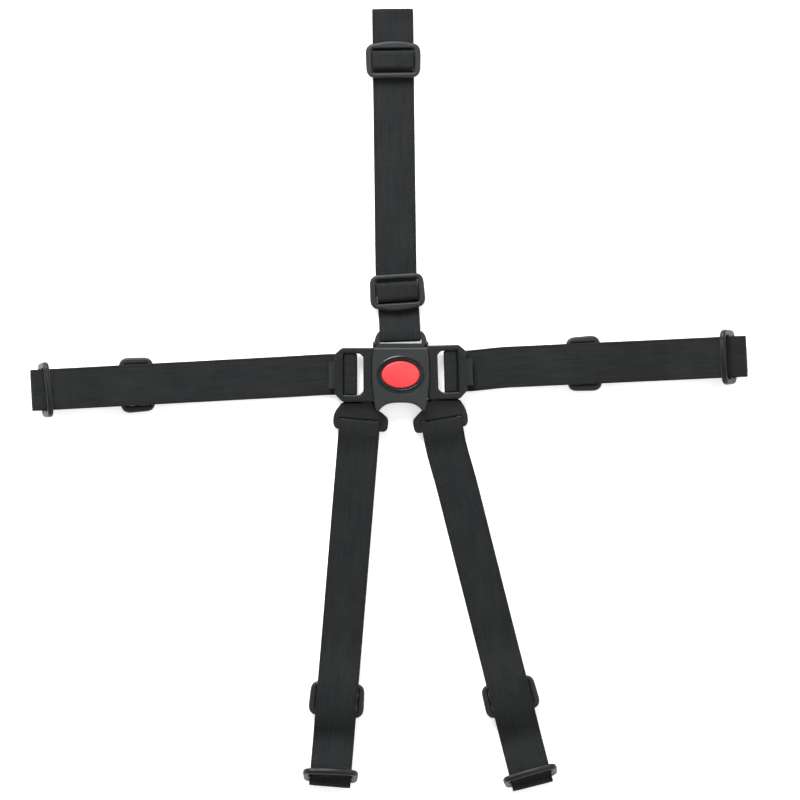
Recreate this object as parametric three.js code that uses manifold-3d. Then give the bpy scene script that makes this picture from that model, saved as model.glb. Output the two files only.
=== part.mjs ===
// Five-point child safety harness, laid out flat: a press-button buckle, two plug-in
// tongues that carry the shoulder clips, five webbing straps and ten strap sliders.
// Millimetres, +Z up. The origin is the centre of the buckle's back face.
import * as THREE from "three";
import { mergeVertices } from "three/addons/utils/BufferGeometryUtils.js";
import Module from "manifold-3d";

// ---- driving dimensions ----

const GAP = 0.3; // between faces that touch on the real object
const WEB = { width: 25, thickness: 1.3 };
const LAYER = WEB.thickness + GAP; // pitch of stacked webbing
const WRAP = WEB.thickness / 2 + GAP; // from a bar's face to the middle of the webbing
const LOW = 0.8; // height of the middle of the rear strand
const HIGH = LOW + LAYER; // and of the front strand

const HOUSING = {
  top: 16.4,
  topHalf: 16.1,
  midHalf: 17.8,
  legHalf: 15.6,
  legShoulder: -18.5,
  legTip: { x: 13.2, y: -22.2 },
  archFoot: { x: 11.4, y: -20.8 },
  archTop: -17,
  backEnd: -15.9, // the back cover stops here, to leave room for the shoulder clips
  sideEnd: -16.8, // below this the front cover's legs are solid
  cavityDown: -13.4,
  cavityUp: 14.2,
  wallHalf: 15,
  wallThickness: 1.8,
  basePlate: 2.6,
  floor: 1.8,
  seam: 6.75,
  roofLow: 11.3,
  roofInside: 12.2,
  height: 14.5,
};
const LOOP = {
  barLow: 21.5,
  barHigh: 25.4,
  slotLow: 18.2,
  slotHalf: 13.1,
  root: 13.4,
  foot: 15.1,
  elbow: 17.9,
  half: 15.9,
  barHalf: 12.6,
  low: 2,
  high: 6,
};
const BUTTON = { rx: 11.45, ry: 8.1, top: 14.9, crown: 15.5, flange: 1.3 };
const BUTTON_POST = { x: 5.2, radius: 1.1, foot: 4.3 };
const BEZEL = { rx: 13.9, ry: 10.6, depth: 0.7 };
const SPRING = { radius: 2.7, wire: 0.7, turns: 5 };

const TONGUE = {
  inner: 15.9,
  outer: 40.1,
  half: 16.4,
  cornerX: 35.5,
  cornerUp: 12.4,
  cornerDown: -11.6,
  low: 3.4,
  high: 10.9,
  window: { inner: 22.6, outer: 34.8, middle: 0.3, half: 13.1, chamfer: 2.2 },
  bar: { x: 30.5, half: 2.3, low: 4.2, high: 8.2, down: -13.6, up: 14.2 },
  lip: { reach: 43.8, up: 8, down: -8.4 },
  blade: { tip: 6.8, half: 11, low: 4.4, high: 7.4 },
  passage: { down: -12.6, up: 12.8, above: 0.4 }, // the buckle's room for the blades
  catchHole: { from: 8.8, to: 12.9, half: 7.8 },
};
const RIGHT_TONGUE = { turn: 1.5, shift: 0.9 }; // degrees and mm of play, as it lies
const CLIP = {
  top: -16.7,
  topOuter: 35.5,
  topInner: 16.3,
  low: 2,
  high: 6.1,
  width: 33,
  frameUp: 5.2,
  frameDown: 3.3,
  barUp: 1.8,
  slotUp: 3.9,
  slotHalf: 13.2,
  corner: 3.2,
  tab: { from: 18.2, to: 22.1, end: -2.2, low: 2.7 },
};

const SLIDER = {
  width: 32.9,
  window: 14.4,
  centreBar: 4,
  straightBar: 3.5,
  archEnds: 2.4,
  archMiddle: 5.1,
  slotHalf: 13.2,
  corner: 3.6,
  low: 3.5,
  high: 7.1,
  barLow: 3.6,
  barHigh: 6.2,
};
const STANDING = { height: 11.3 }; // of the centre bar of a slider that stands on edge

// Each strap leaves its bar at pivot, along leave, and one that doesn't lie straight has
// turned to run by the point join. Headings are degrees from +X. slider and end are
// distances from the pivot along the strap, fold is how far the end loop reaches past the
// end slider, lean is the end slider's tilt from flat, and skew its turn seen from above.
const STRAPS = {
  waist_left: {
    pivot: [-TONGUE.bar.x, TONGUE.window.middle],
    leave: 180,
    join: [-66, -1.03],
    run: 183.1,
    slider: 129.7,
    end: 184.5,
    fold: 8.9,
    lean: 101,
    skew: 2.5,
  },
  waist_right: {
    pivot: [30.46, 2],
    leave: 1.5,
    join: [66, 5.6],
    run: 2.2,
    slider: 81,
    end: 167.9,
    fold: 11.4,
    lean: 112,
    skew: 0,
  },
  shoulder_left: {
    pivot: [-25, -30.6],
    leave: 265.3,
    slider: 167,
    end: 212.6,
    fold: 6.8,
    lean: 109,
    skew: 0,
  },
  shoulder_right: {
    pivot: [25.1, -30.2],
    leave: 279.5,
    join: [34.6, -69],
    run: 284.2,
    slider: 170.3,
    end: 219,
    fold: 6.8,
    lean: 107,
    skew: 1.5,
  },
  crotch: {
    pivot: [-0.4, 23.4],
    leave: 91.1,
    slider: 27.1,
    end: 167.4,
    fold: 31.5,
  },
};

const BLACK_PLASTIC = { color: 0x242629, roughness: 0.48, metalness: 0 };
const CORAL_PLASTIC = { color: 0xf4474f, roughness: 0.38, metalness: 0 };
const STEEL = { color: 0xb9bcc0, roughness: 0.3, metalness: 1 };
const BLACK_WEBBING = { color: 0x1c1d1f, roughness: 0.92, metalness: 0 };

// ---- solids ----

const wasm = await Module();
wasm.setup();

function solid(geometry) {
  const bare = geometry.clone();
  for (const name of ["normal", "uv"]) bare.deleteAttribute(name);
  const merged = mergeVertices(bare, 1e-4);
  return new wasm.Manifold(
    new wasm.Mesh({
      numProp: 3,
      vertProperties: merged.attributes.position.array,
      triVerts: new Uint32Array(merged.index.array),
    }),
  );
}

function geometryOf(body) {
  const mesh = body.getMesh();
  const geometry = new THREE.BufferGeometry();
  const count = mesh.vertProperties.length / mesh.numProp;
  const points = new Float32Array(count * 3);
  for (let i = 0; i < count; i++) {
    for (let k = 0; k < 3; k++) points[3 * i + k] = mesh.vertProperties[mesh.numProp * i + k];
  }
  geometry.setAttribute("position", new THREE.BufferAttribute(points, 3));
  geometry.setIndex(new THREE.BufferAttribute(new Uint32Array(mesh.triVerts), 1));
  geometry.computeVertexNormals();
  return geometry;
}

// A flat shape raised from low to high, with its edges chamfered inwards.
function plate(shape, low, high, chamfer = 0, curveSegments = 8) {
  const geometry = new THREE.ExtrudeGeometry(shape, {
    depth: high - low - 2 * chamfer,
    bevelEnabled: chamfer > 0,
    bevelThickness: chamfer,
    bevelSize: chamfer,
    bevelOffset: -chamfer,
    bevelSegments: 1,
    curveSegments,
  });
  return solid(geometry.translate(0, 0, low + chamfer));
}

const FAR = 30; // past every face of the buckle

function block(x0, x1, y0, y1, z0, z1) {
  const geometry = new THREE.BoxGeometry(Math.abs(x1 - x0), y1 - y0, z1 - z0);
  return solid(geometry.translate((x0 + x1) / 2, (y0 + y1) / 2, (z0 + z1) / 2));
}

// A profile of [x, z] points, extruded along Y.
function extrudedAlongY(points, y0, y1) {
  const shape = new THREE.Shape(points.map(([x, z]) => new THREE.Vector2(x, z)));
  const geometry = new THREE.ExtrudeGeometry(shape, { depth: y1 - y0, bevelEnabled: false });
  return solid(geometry.rotateX(Math.PI / 2).translate(0, y1, 0));
}

function ellipse(rx, ry) {
  const shape = new THREE.Shape();
  shape.absellipse(0, 0, rx, ry, 0, 2 * Math.PI);
  return shape;
}

function ellipticalPlate(rx, ry, low, high) {
  return plate(ellipse(rx, ry), low, high, 0, 20);
}

// A rectangle with cut corners, as a flat shape.
function chamferedRectangle(x0, x1, y0, y1, cut) {
  return new THREE.Shape([
    new THREE.Vector2(x0 + cut, y0),
    new THREE.Vector2(x1 - cut, y0),
    new THREE.Vector2(x1, y0 + cut),
    new THREE.Vector2(x1, y1 - cut),
    new THREE.Vector2(x1 - cut, y1),
    new THREE.Vector2(x0 + cut, y1),
    new THREE.Vector2(x0, y1 - cut),
    new THREE.Vector2(x0, y0 + cut),
  ]);
}

// The four-sided section of a bar with its corners taken off, as [across, z] points.
function barSection(from, to, low, high, cut = 0.8) {
  return [
    [from + cut, low],
    [to - cut, low],
    [to, low + cut],
    [to, high - cut],
    [to - cut, high],
    [from + cut, high],
    [from, high - cut],
    [from, low + cut],
  ];
}

const object = new THREE.Group();

function add(name, body, finish, parent = object) {
  const mesh = new THREE.Mesh(geometryOf(body), new THREE.MeshStandardMaterial(finish));
  mesh.name = name;
  parent.add(mesh);
  return mesh;
}

// ---- buckle ----

function housingOutline() {
  const h = HOUSING;
  const shape = new THREE.Shape();
  shape.moveTo(-h.topHalf + 1, h.top);
  shape.lineTo(h.topHalf - 1, h.top);
  shape.quadraticCurveTo(h.topHalf, h.top, h.topHalf + 0.2, h.top - 1);
  shape.quadraticCurveTo(2 * h.midHalf - h.topHalf - 0.6, 1, h.legHalf, h.legShoulder);
  shape.quadraticCurveTo(h.legHalf - 0.3, h.legTip.y, h.legTip.x, h.legTip.y);
  shape.quadraticCurveTo(h.archFoot.x, h.legTip.y, h.archFoot.x, h.archFoot.y);
  shape.bezierCurveTo(h.archFoot.x - 1, h.archTop, 6, h.archTop, 0, h.archTop);
  shape.bezierCurveTo(-6, h.archTop, 1 - h.archFoot.x, h.archTop, -h.archFoot.x, h.archFoot.y);
  shape.quadraticCurveTo(-h.archFoot.x, h.legTip.y, -h.legTip.x, h.legTip.y);
  shape.quadraticCurveTo(0.3 - h.legHalf, h.legTip.y, -h.legHalf, h.legShoulder);
  shape.quadraticCurveTo(h.topHalf + 0.6 - 2 * h.midHalf, 1, -h.topHalf - 0.2, h.top - 1);
  shape.quadraticCurveTo(-h.topHalf, h.top, -h.topHalf + 1, h.top);
  return shape;
}

// Everything beside the walls, between the base plate and the roof: the tongues' room.
function besideWalls(side) {
  const h = HOUSING;
  return block(side * h.wallHalf, side * FAR, h.sideEnd, FAR, h.basePlate, h.roofLow);
}

function cavity(low, high) {
  const half = HOUSING.wallHalf - HOUSING.wallThickness;
  return block(-half, half, HOUSING.cavityDown, HOUSING.cavityUp, low, high);
}

function tonguePassage() {
  const { blade, passage } = TONGUE;
  const [low, high] = [blade.low - GAP, blade.high + passage.above];
  return block(-FAR, FAR, passage.down, passage.up, low, high);
}

function frontCover() {
  const h = HOUSING;
  let body = plate(housingOutline(), h.seam + GAP / 2, h.height, 0.9);
  for (const side of [-1, 1]) body = body.subtract(besideWalls(side));
  return body
    .subtract(cavity(h.seam - 1, h.roofInside))
    .subtract(tonguePassage())
    .subtract(ellipticalPlate(BEZEL.rx, BEZEL.ry, h.height - BEZEL.depth, h.height + 2))
    .subtract(ellipticalPlate(BUTTON.rx + GAP, BUTTON.ry + GAP, h.roofInside - 1, h.height + 1));
}

// The closed loop on the buckle's top edge that the crotch strap hangs on.
function strapLoop() {
  const arms = new THREE.Shape();
  const { foot, elbow, half } = LOOP;
  arms.moveTo(-foot, LOOP.root);
  arms.lineTo(foot, LOOP.root);
  arms.lineTo(foot, elbow);
  arms.lineTo(half, elbow + 0.7);
  arms.quadraticCurveTo(half, LOOP.barHigh - 1, LOOP.barHalf, LOOP.barHigh);
  arms.lineTo(-LOOP.barHalf, LOOP.barHigh);
  arms.quadraticCurveTo(-half, LOOP.barHigh - 1, -half, elbow + 0.7);
  arms.lineTo(-foot, elbow);
  arms.closePath();
  arms.holes.push(
    new THREE.Path([
      new THREE.Vector2(-LOOP.slotHalf, LOOP.slotLow),
      new THREE.Vector2(-LOOP.slotHalf, LOOP.barLow),
      new THREE.Vector2(LOOP.slotHalf, LOOP.barLow),
      new THREE.Vector2(LOOP.slotHalf, LOOP.slotLow),
    ]),
  );
  return plate(arms, LOOP.low, LOOP.high, 0.6);
}

function backCover() {
  const h = HOUSING;
  let body = plate(housingOutline(), 0, h.seam - GAP / 2, 0.6);
  for (const side of [-1, 1]) body = body.subtract(besideWalls(side));
  return body
    .subtract(block(-FAR, FAR, -FAR, h.backEnd, -1, h.height))
    .add(strapLoop())
    .subtract(cavity(h.floor, h.seam + 1))
    .subtract(tonguePassage());
}

const UNDERSIDE = HOUSING.roofInside - GAP - BUTTON.flange; // of the button's flange

function button() {
  const { rx, ry, top, crown } = BUTTON;
  const { x, radius, foot } = BUTTON_POST;
  const length = UNDERSIDE + 0.2 - foot;
  const leg = new THREE.CylinderGeometry(radius, radius, length, 10);
  leg.rotateX(Math.PI / 2).translate(0, 0, foot + length / 2);
  let body = ellipticalPlate(rx, ry, UNDERSIDE + 0.2, top)
    .add(ellipticalPlate(rx - 0.9, ry - 0.9, top - 0.5, top + 0.3))
    .add(ellipticalPlate(rx - 3.2, ry - 2.8, top, crown))
    .add(ellipticalPlate(rx + 1.1, ry + 1.1, UNDERSIDE, UNDERSIDE + BUTTON.flange));
  for (const side of [-1, 1]) body = body.add(solid(leg.clone().translate(x * side, 0, 0)));
  return body;
}

class Coil extends THREE.Curve {
  constructor(radius, low, high, turns) {
    super();
    Object.assign(this, { radius, low, high, turns });
  }
  getPoint(t, target = new THREE.Vector3()) {
    const angle = 2 * Math.PI * this.turns * t;
    const z = this.low + (this.high - this.low) * t;
    return target.set(this.radius * Math.cos(angle), this.radius * Math.sin(angle), z);
  }
}

function buttonSpring() {
  const { radius, wire, turns } = SPRING;
  const low = HOUSING.floor + GAP + wire / 2;
  const high = UNDERSIDE - GAP - wire / 2;
  const geometry = new THREE.ExtrudeGeometry(ellipse(wire / 2, wire / 2), {
    extrudePath: new Coil(radius, low, high, turns),
    steps: 14 * turns,
    curveSegments: 3,
    bevelEnabled: false,
  });
  return solid(geometry);
}

// A leaf of spring steel on two feet, with a ramped tooth at each end.
function latchLeaf() {
  const foot = HOUSING.floor + GAP;
  const half = [
    [3, foot],
    [6.4, foot],
    [7.4, foot + 1],
    [12.2, foot + 1],
    [12.4, 5.4],
    [10.4, 7.1],
    [9.3, 7.1],
    [9.3, foot + 1.9],
    [7, foot + 1.9],
    [6, foot + 0.9],
  ];
  const mirrored = half.map(([x, z]) => [-x, z]).reverse();
  const eye = new THREE.CylinderGeometry(4, 4, 20, 18).rotateX(Math.PI / 2);
  return extrudedAlongY([...half, ...mirrored], -6, 6).subtract(solid(eye));
}

add("buckle_back_cover", backCover(), BLACK_PLASTIC);
add("buckle_front_cover", frontCover(), BLACK_PLASTIC);
add("release_button", button(), CORAL_PLASTIC);
add("button_spring", buttonSpring(), STEEL);
add("latch_leaf", latchLeaf(), STEEL);

// ---- tongues and shoulder clips; side is -1 on the left and 1 on the right ----

function tongue(side) {
  const t = TONGUE;
  const at = (x, y) => new THREE.Vector2(side * x, y);
  const outline = new THREE.Shape([
    at(t.inner, t.half),
    at(t.cornerX, t.half),
    at(t.outer, t.cornerUp),
    at(t.outer, t.cornerDown),
    at(t.cornerX, -t.half),
    at(t.inner, -t.half),
  ]);
  const w = t.window;
  outline.holes.push(
    new THREE.Path([
      at(w.outer, w.middle - w.half),
      at(w.outer, w.middle + w.half),
      at(w.inner + w.chamfer, w.middle + w.half),
      at(w.inner, w.middle + w.half - w.chamfer),
      at(w.inner, w.middle - w.half + w.chamfer),
      at(w.inner + w.chamfer, w.middle - w.half),
    ]),
  );
  const barEdges = [side * t.bar.x - t.bar.half, side * t.bar.x + t.bar.half];
  const section = barSection(...barEdges, t.bar.low, t.bar.high);
  const lipPoints = [
    [t.outer - 2, t.high - 1.6],
    [t.outer - 0.2, t.high - 1.2],
    [t.lip.reach, t.high - 3.4],
    [t.lip.reach, t.high - 4.2],
    [t.outer - 2, t.high - 4.6],
  ];
  const lip = extrudedAlongY(lipPoints.map(([x, z]) => [side * x, z]), t.lip.down, t.lip.up);
  const { tip, half, low, high } = t.blade;
  const bladeEnds = [side * tip, side * (t.inner + 1)].sort(ascending);
  const blade = chamferedRectangle(...bladeEnds, -half, half, 1.5);
  const c = t.catchHole;
  return plate(outline, t.low, t.high, 0.8)
    .add(extrudedAlongY(section, t.bar.down, t.bar.up))
    .add(lip)
    .add(plate(blade, low, high))
    .subtract(block(side * c.from, side * c.to, -c.half, c.half, 0, 20))
    .subtract(clipChannel(side));
}

function ascending(a, b) {
  return a - b;
}

function clipChannel(side) {
  const { from, to, end } = CLIP.tab;
  return block(side * (from - GAP), side * (to + GAP), -20, end + 0.5, 0, CLIP.high + 0.4);
}

// The clip's lower frame stands square to its strap, at the strap's pivot.
function clip(side, strap) {
  const square = THREE.MathUtils.degToRad(strap.leave - 270);
  const [px, py] = strap.pivot;
  const placed = (body) => body.rotate([0, 0, strap.leave - 270]).translate([px, py, 0]);
  const half = CLIP.width / 2;
  const frame = chamferedRectangle(-half, half, -CLIP.frameDown, CLIP.frameUp, CLIP.corner);
  const slot = block(-CLIP.slotHalf, CLIP.slotHalf, CLIP.barUp, CLIP.slotUp, 0, 20);
  const shoulder = (x, y) => new THREE.Vector2(x, y).rotateAround(new THREE.Vector2(), square);
  const ends = [shoulder(-half, CLIP.frameUp - CLIP.corner), shoulder(half, CLIP.frameUp - CLIP.corner)];
  const web = new THREE.Shape([
    ...ends.map((v) => new THREE.Vector2(v.x + px, v.y + py)),
    ...[CLIP.topInner, CLIP.topOuter]
      .map((x) => side * x)
      .sort((a, b) => b - a)
      .map((x) => new THREE.Vector2(x, CLIP.top)),
  ]);
  const { from, to, end, low } = CLIP.tab;
  return plate(web, CLIP.low, CLIP.high, 0.6)
    .add(placed(plate(frame, CLIP.low, CLIP.high, 0.6)))
    .subtract(placed(slot))
    .add(block(side * from, side * to, CLIP.top - 4, end, low, CLIP.high));
}

const leftSide = new THREE.Group();
const rightSide = new THREE.Group();
rightSide.rotation.z = THREE.MathUtils.degToRad(RIGHT_TONGUE.turn);
rightSide.position.y = RIGHT_TONGUE.shift;
object.add(leftSide, rightSide);

// A strap's pivot and heading, seen from inside a turned group.
function seenFrom(group, strap) {
  const turn = THREE.MathUtils.radToDeg(group.rotation.z);
  const pivot = new THREE.Vector3(...strap.pivot, 0).sub(group.position);
  pivot.applyAxisAngle(new THREE.Vector3(0, 0, 1), -group.rotation.z);
  return { pivot: [pivot.x, pivot.y], leave: strap.leave - turn };
}

add("tongue_left", tongue(-1), BLACK_PLASTIC, leftSide);
add("tongue_right", tongue(1), BLACK_PLASTIC, rightSide);
add("shoulder_clip_left", clip(-1, seenFrom(leftSide, STRAPS.shoulder_left)), BLACK_PLASTIC, leftSide);
add("shoulder_clip_right", clip(1, seenFrom(rightSide, STRAPS.shoulder_right)), BLACK_PLASTIC, rightSide);

// ---- where a strap runs, seen from above ----

const LEAD = 6; // straight webbing past the pivot, before the strap turns
const radians = THREE.MathUtils.degToRad;
const heading = (degrees) => new THREE.Vector2(Math.cos(radians(degrees)), Math.sin(radians(degrees)));

class Course {
  constructor(strap) {
    this.pivot = new THREE.Vector2(...strap.pivot);
    this.leave = heading(strap.leave);
    this.turnEnd = 0;
    if (strap.join) this.addTurn(new THREE.Vector2(...strap.join), heading(strap.run));
  }
  addTurn(join, run) {
    this.join = join;
    this.run = run;
    const lead = this.pivot.clone().addScaledVector(this.leave, LEAD);
    const reach = lead.distanceTo(this.join) / 3;
    this.turn = new THREE.CubicBezierCurve(
      lead,
      lead.clone().addScaledVector(this.leave, reach),
      this.join.clone().addScaledVector(this.run, -reach),
      this.join,
    );
    this.turnEnd = LEAD + this.turn.getLength();
  }
  // The point at this distance from the pivot, and the direction there.
  at(distance) {
    if (distance <= LEAD || !this.join) {
      return { point: this.pivot.clone().addScaledVector(this.leave, distance), along: this.leave };
    }
    if (distance < this.turnEnd) {
      const u = (distance - LEAD) / (this.turnEnd - LEAD);
      return { point: this.turn.getPointAt(u), along: this.turn.getTangentAt(u) };
    }
    const rest = distance - this.turnEnd;
    return { point: this.join.clone().addScaledVector(this.run, rest), along: this.run };
  }
}

// ---- webbing: a route of [distance, height, rounding] points, thickened and widened ----

const TIGHT = 1.6;
const EASY = 8;

function roundedRoute(route) {
  const points = route.map(([s, z]) => new THREE.Vector2(s, z));
  const path = new THREE.Path();
  path.moveTo(points[0].x, points[0].y);
  for (let i = 1; i < points.length - 1; i++) {
    const [before, corner, after] = points.slice(i - 1, i + 2);
    const room = 0.48 * Math.min(corner.distanceTo(before), corner.distanceTo(after));
    const cut = Math.min(route[i][2] ?? TIGHT, room);
    const from = corner.clone().add(before.clone().sub(corner).setLength(cut));
    const to = corner.clone().add(after.clone().sub(corner).setLength(cut));
    path.lineTo(from.x, from.y);
    path.quadraticCurveTo(corner.x, corner.y, to.x, to.y);
  }
  path.lineTo(points.at(-1).x, points.at(-1).y);
  return path.getPoints(4);
}

// Long straight stretches get more points where the strap still turns.
function withStations(points, turnEnd, step = 9) {
  const result = [points[0]];
  for (let i = 1; i < points.length; i++) {
    const [a, b] = [points[i - 1], points[i]];
    const turning = Math.min(a.x, b.x) < turnEnd;
    const pieces = turning ? Math.ceil(a.distanceTo(b) / step) : 1;
    for (let k = 1; k <= pieces; k++) result.push(a.clone().lerp(b, k / pieces));
  }
  return result.filter((p, i) => i === 0 || p.distanceTo(result[i - 1]) > 0.05);
}

function ribbon(route, course) {
  const middle = withStations(roundedRoute(route), course.turnEnd);
  const faces = [1, -1].map((sign) =>
    middle.map((point, i) => {
      const before = middle[Math.max(i - 1, 0)];
      const after = middle[Math.min(i + 1, middle.length - 1)];
      const along = after.clone().sub(before).normalize();
      const out = new THREE.Vector2(-along.y, along.x).multiplyScalar((sign * WEB.thickness) / 2);
      return point.clone().add(out);
    }),
  );
  const outline = new THREE.Shape([...faces[0], ...faces[1].reverse()]);
  const geometry = new THREE.ExtrudeGeometry(outline, { depth: WEB.width, bevelEnabled: false });
  const position = geometry.attributes.position;
  for (let i = 0; i < position.count; i++) {
    const { point, along } = course.at(position.getX(i));
    const across = position.getZ(i) - WEB.width / 2;
    const z = position.getY(i);
    position.setXYZ(i, point.x + along.y * across, point.y - along.x * across, z);
  }
  return solid(geometry);
}

const BAR_TOP = SLIDER.barHigh + WRAP; // webbing sewn over a slider's centre bar
const BAR_BOTTOM = SLIDER.barLow - WRAP;
const OVER_SEWN = BAR_TOP + LAYER; // webbing threaded over the sewn end
const SEWN_HALF = SLIDER.centreBar / 2 + WRAP;
const THREADED_HALF = SEWN_HALF + LAYER;

// The webbing's end, sewn round a slider's centre bar. It comes from the side given by
// from (-1 is the buckle's side), and the points run from its cut end outwards.
function sewnEnd(slider, from) {
  return [
    [slider + from * SEWN_HALF, BAR_BOTTOM - 0.45],
    [slider + from * SEWN_HALF, BAR_TOP],
    [slider - from * SEWN_HALF, BAR_TOP],
    [slider - from * SEWN_HALF, BAR_BOTTOM],
    [slider - from * 0.4, BAR_BOTTOM],
    [slider + from * 3.6, LOW],
  ];
}

// Webbing threaded up through a slider, over the centre bar and down again. It lies low on
// the near side, and over the sewn strand on the far one.
function threaded(slider, sewnFrom) {
  return [
    [slider - sewnFrom * 5.6, LOW],
    [slider - sewnFrom * THREADED_HALF, OVER_SEWN],
    [slider + sewnFrom * THREADED_HALF, OVER_SEWN],
    [slider + sewnFrom * 5.6, HIGH],
  ];
}

// The front strand passes over the adjuster, and its end loop holds the standing slider.
function adjustableRoute({ slider, end, fold }, wrap) {
  const over = OVER_SEWN + LAYER;
  const gap = end - slider;
  const [dip, reach] = gap > 60 ? [HIGH, 34] : [5.5, 0.45 * gap];
  const loopHalf = 3.3;
  const loopEnd = end + fold - WEB.thickness / 2;
  return [
    ...sewnEnd(slider, -1),
    ...wrap,
    [slider - 34, HIGH, EASY],
    [slider - 8, over, EASY],
    [slider + 8, over, EASY],
    [slider + reach, dip, EASY],
    [end - reach, dip, EASY],
    [end - 4, STANDING.height + loopHalf, EASY],
    [loopEnd, STANDING.height + loopHalf, 3],
    [loopEnd, STANDING.height - loopHalf, 3],
    [end - 3, STANDING.height - loopHalf, EASY],
    [end - 28, LOW, EASY],
    ...threaded(slider, -1),
    [slider - 18, HIGH],
  ];
}

function crotchRoute({ slider, end, fold }, wrap) {
  const loopEnd = end + fold - WEB.thickness / 2;
  return [
    ...sewnEnd(slider, -1),
    ...wrap,
    ...threaded(slider, -1).reverse(),
    ...threaded(end, 1),
    [loopEnd - 8, HIGH, 3],
    [loopEnd, HIGH + 1.2],
    [loopEnd, LOW],
    ...sewnEnd(end, 1).reverse(),
  ];
}

const tongueWrap = [
  [-TONGUE.bar.half - WRAP, LOW],
  [-TONGUE.bar.half - WRAP, TONGUE.bar.high + WRAP],
  [TONGUE.bar.half + WRAP, TONGUE.bar.high + WRAP],
  [TONGUE.bar.half + WRAP, HIGH],
];
const clipWrap = [
  [-CLIP.barUp - WRAP, LOW],
  [-CLIP.barUp - WRAP, CLIP.high + WRAP],
  [CLIP.frameDown + 0.4, CLIP.high + WRAP, 3],
  [14, HIGH, EASY],
];
const loopWrap = [
  [-(LOOP.barHigh - LOOP.barLow) / 2 - WRAP, LOW],
  [-(LOOP.barHigh - LOOP.barLow) / 2 - WRAP, LOOP.high + WRAP],
  [2.6, LOOP.high + WRAP, 3],
  [12, HIGH],
];

// ---- sliders ----

function sliderSolid() {
  const s = SLIDER;
  const side = s.width / 2;
  const straight = -s.window / 2 - s.straightBar;
  const shoulder = s.window / 2 + s.archEnds;
  const crown = s.window / 2 + s.archMiddle;
  const shape = new THREE.Shape();
  shape.moveTo(-side + s.corner, straight);
  shape.lineTo(side - s.corner, straight);
  shape.quadraticCurveTo(side, straight, side, straight + s.corner);
  shape.lineTo(side + 0.3, shoulder - s.corner);
  shape.quadraticCurveTo(side + 0.3, shoulder, side - s.corner, shoulder);
  shape.quadraticCurveTo(0, 2 * crown - shoulder, -side + s.corner, shoulder);
  shape.quadraticCurveTo(-side - 0.3, shoulder, -side - 0.3, shoulder - s.corner);
  shape.lineTo(-side, straight + s.corner);
  shape.quadraticCurveTo(-side, straight, -side + s.corner, straight);
  for (const sign of [-1, 1]) {
    const edges = [sign * (s.centreBar / 2), sign * (s.window / 2)].sort(ascending);
    shape.holes.push(chamferedRectangle(-s.slotHalf, s.slotHalf, ...edges, 0.6));
  }
  const middle = (s.low + s.high) / 2;
  return plate(shape, s.low, s.high, 0.7)
    .subtract(block(-s.slotHalf, s.slotHalf, -3, 3, s.barHigh, 20))
    .translate([0, 0, -middle]);
}

const sliderBody = sliderSolid();
const LYING = (SLIDER.low + SLIDER.high) / 2;

// tilt turns the slider about its centre bar; at 0 it lies flat, arched side outwards.
function addSlider(name, course, distance, height, tilt = 0, skew = 0) {
  const { point, along } = course.at(distance);
  const mesh = add(name, sliderBody, BLACK_PLASTIC);
  mesh.position.set(point.x, point.y, height);
  mesh.rotation.order = "ZXY";
  mesh.rotation.z = Math.atan2(along.y, along.x) - Math.PI / 2 + radians(skew);
  mesh.rotation.x = radians(tilt);
  return mesh;
}

// ---- straps ----

for (const [name, strap] of Object.entries(STRAPS)) {
  const course = new Course(strap);
  if (name === "crotch") {
    add("webbing_crotch", ribbon(crotchRoute(strap, loopWrap), course), BLACK_WEBBING);
    addSlider("slider_crotch_lower", course, strap.slider, LYING).rotation.z += Math.PI;
    addSlider("slider_crotch_upper", course, strap.end, LYING);
  } else {
    const wrap = name.startsWith("waist") ? tongueWrap : clipWrap;
    add("webbing_" + name, ribbon(adjustableRoute(strap, wrap), course), BLACK_WEBBING);
    addSlider("adjuster_" + name, course, strap.slider, LYING);
    addSlider("end_slider_" + name, course, strap.end, STANDING.height, strap.lean, strap.skew);
  }
}

export default object;
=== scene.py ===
"""Looks of the five-point child safety harness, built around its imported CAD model.

Sizes in the constants below are millimetres; meshes are made in metres, in the CAD's frame.
"""
import bisect
import math

import bmesh
import bpy
from mathutils import Matrix, Vector
from mathutils.geometry import tessellate_polygon


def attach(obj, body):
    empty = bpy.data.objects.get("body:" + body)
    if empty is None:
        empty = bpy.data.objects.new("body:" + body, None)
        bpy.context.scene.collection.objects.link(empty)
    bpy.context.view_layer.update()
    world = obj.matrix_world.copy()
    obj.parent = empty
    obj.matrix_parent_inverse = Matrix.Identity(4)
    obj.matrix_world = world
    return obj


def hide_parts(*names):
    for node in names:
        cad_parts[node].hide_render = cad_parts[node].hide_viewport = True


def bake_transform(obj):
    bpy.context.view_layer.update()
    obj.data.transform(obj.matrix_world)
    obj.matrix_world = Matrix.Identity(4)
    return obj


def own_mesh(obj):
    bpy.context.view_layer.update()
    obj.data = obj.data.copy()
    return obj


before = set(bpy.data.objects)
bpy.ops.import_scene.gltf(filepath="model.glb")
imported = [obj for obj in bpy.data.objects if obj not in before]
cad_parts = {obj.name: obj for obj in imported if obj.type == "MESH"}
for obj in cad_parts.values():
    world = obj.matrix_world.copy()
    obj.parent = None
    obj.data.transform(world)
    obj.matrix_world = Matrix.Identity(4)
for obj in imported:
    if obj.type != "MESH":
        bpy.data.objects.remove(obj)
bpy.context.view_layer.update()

MM = 0.001

# ---- driving dimensions, as in the CAD ----

GAP = 0.3
WIDTH, THICKNESS = 25, 1.3
LAYER = THICKNESS + GAP
WRAP = THICKNESS / 2 + GAP
LOW = 0.8
HIGH = LOW + LAYER
LEAD = 6  # straight webbing past the bar, before a strap turns
WARP_PITCH, PICK_PITCH = 0.92, 1.24
TACK_FROM_END, TACK_HALF, TACK_INSET = 21.6, 1.5, 2.4  # the bar tack by each sewn end

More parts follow.
